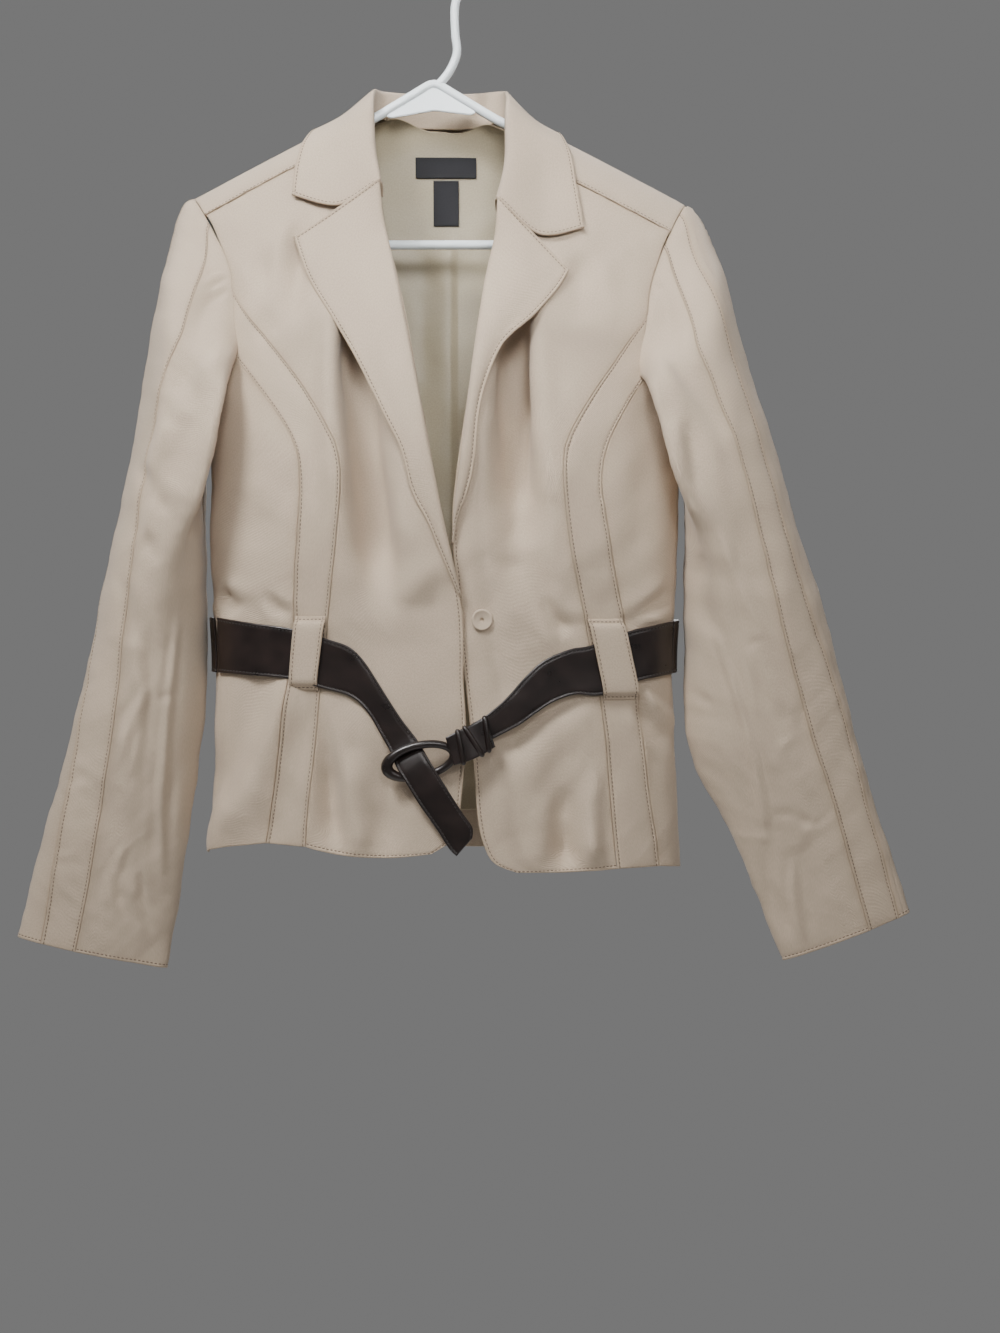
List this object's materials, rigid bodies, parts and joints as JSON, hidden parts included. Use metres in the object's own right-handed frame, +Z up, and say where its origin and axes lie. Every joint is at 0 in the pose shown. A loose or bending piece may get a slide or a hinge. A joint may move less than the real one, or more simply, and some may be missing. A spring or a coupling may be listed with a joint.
{
  "type": "belted blazer on a hanger",
  "caption": "Cropped single-button blazer with notched lapels, inset front strips and its own leather belt, hanging open on a tubular plastic hanger.",
  "frame": {"origin": "where a rail bears on the inside of the hanger's hook, at the top of the hook", "axes": "+Z up, -Y towards the viewer who faces the blazer's front, -X to the wearer's right"},
  "size_m": [0.7693, 0.1666, 0.9094],
  "materials": {
    "shell_cloth": "matte",
    "lining_satin": "satin",
    "label_cloth": "matte",
    "belt_leather": "gloss",
    "hanger_plastic": "gloss"
  },
  "bodies": {
    "root": {"front_right": "shell_cloth", "front_left": "shell_cloth", "strip_right": "shell_cloth", "strip_left": "shell_cloth", "side_right": "shell_cloth", "side_left": "shell_cloth", "back_right": "shell_cloth", "back_left": "shell_cloth", "lapel_right": "shell_cloth", "lapel_left": "shell_cloth", "collar": "shell_cloth", "sleeve_front_right": "shell_cloth", "sleeve_front_left": "shell_cloth", "sleeve_strip_right": "shell_cloth", "sleeve_strip_left": "shell_cloth", "sleeve_back_right": "shell_cloth", "sleeve_under_right": "shell_cloth", "sleeve_back_left": "shell_cloth", "sleeve_under_left": "shell_cloth", "loop_right": "shell_cloth", "loop_left": "shell_cloth", "button": "shell_cloth", "lining_back": "lining_satin", "label_neck": "label_cloth", "label_size": "label_cloth", "belt_right": "belt_leather", "belt_left": "belt_leather", "belt_back": "belt_leather", "belt_wrap": "belt_leather", "buckle": "belt_leather", "hanger": "hanger_plastic"}
  },
  "joints": []
}
